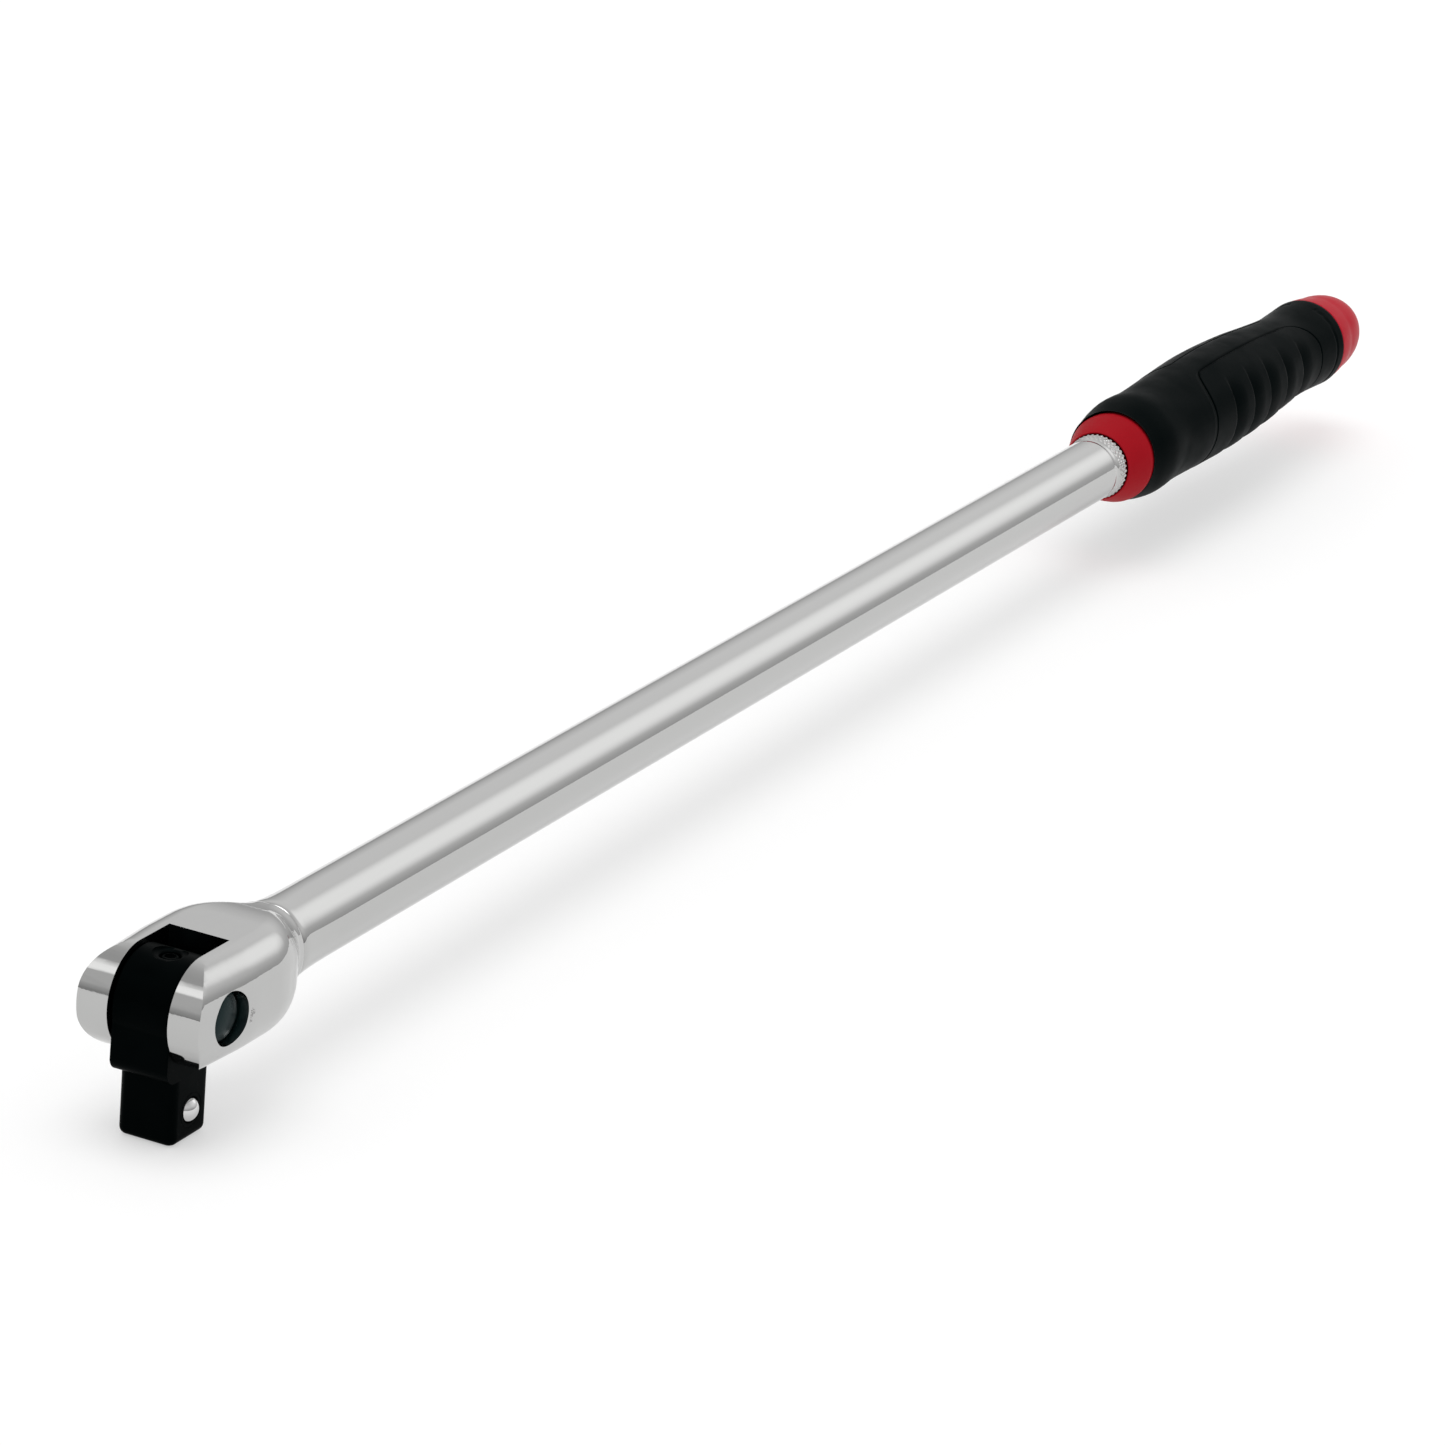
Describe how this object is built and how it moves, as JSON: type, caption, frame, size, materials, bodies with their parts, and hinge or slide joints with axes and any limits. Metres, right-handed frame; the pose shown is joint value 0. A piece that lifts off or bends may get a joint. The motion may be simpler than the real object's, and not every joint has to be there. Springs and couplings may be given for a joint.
{
  "type": "breaker bar",
  "caption": "Flex-head breaker bar: forged chrome bar with a fork, a black half-inch square drive head that swivels on a cross pin, and a black and red moulded grip.",
  "frame": {"origin": "centre of the drive square's end face", "axes": "+X along the bar to the grip, +Y along the pivot pin, +Z from the drive tip up to the pivot"},
  "size_m": [0.6299, 0.0292, 0.0423],
  "materials": {
    "chrome_bar": "polished",
    "black_steel": "black oxide, satin",
    "bright_steel": "polished",
    "spring_steel": "drawn wire",
    "nylon": "natural",
    "red_plastic": "semi-gloss",
    "black_rubber": "fine satin grain"
  },
  "bodies": {
    "handle": {"bar": "chrome_bar", "pivot_pin": "black_steel", "grip_core": "red_plastic", "grip_sleeve": "black_rubber", "finger_panel": "black_rubber", "end_cap": "red_plastic"},
    "head": {"drive_head": "black_steel", "tension_screw": "black_steel", "friction_pad": "nylon", "retaining_spring": "spring_steel"},
    "ball": {"retaining_ball": "bright_steel"}
  },
  "joints": [
    {"name": "head_swivel", "type": "hinge", "parent": "handle", "child": "head", "pos_m": [0, 0, 0.027], "axis": [0, 1, 0], "range_deg": [-3, 183]},
    {"name": "ball_press", "type": "slide", "parent": "head", "child": "ball", "axis": [0, 1, 0], "range_m": [0, 0.00135], "stiffness_N_per_m": 3000, "springref_m": -0.001, "deforming": ["retaining_spring"]}
  ]
}
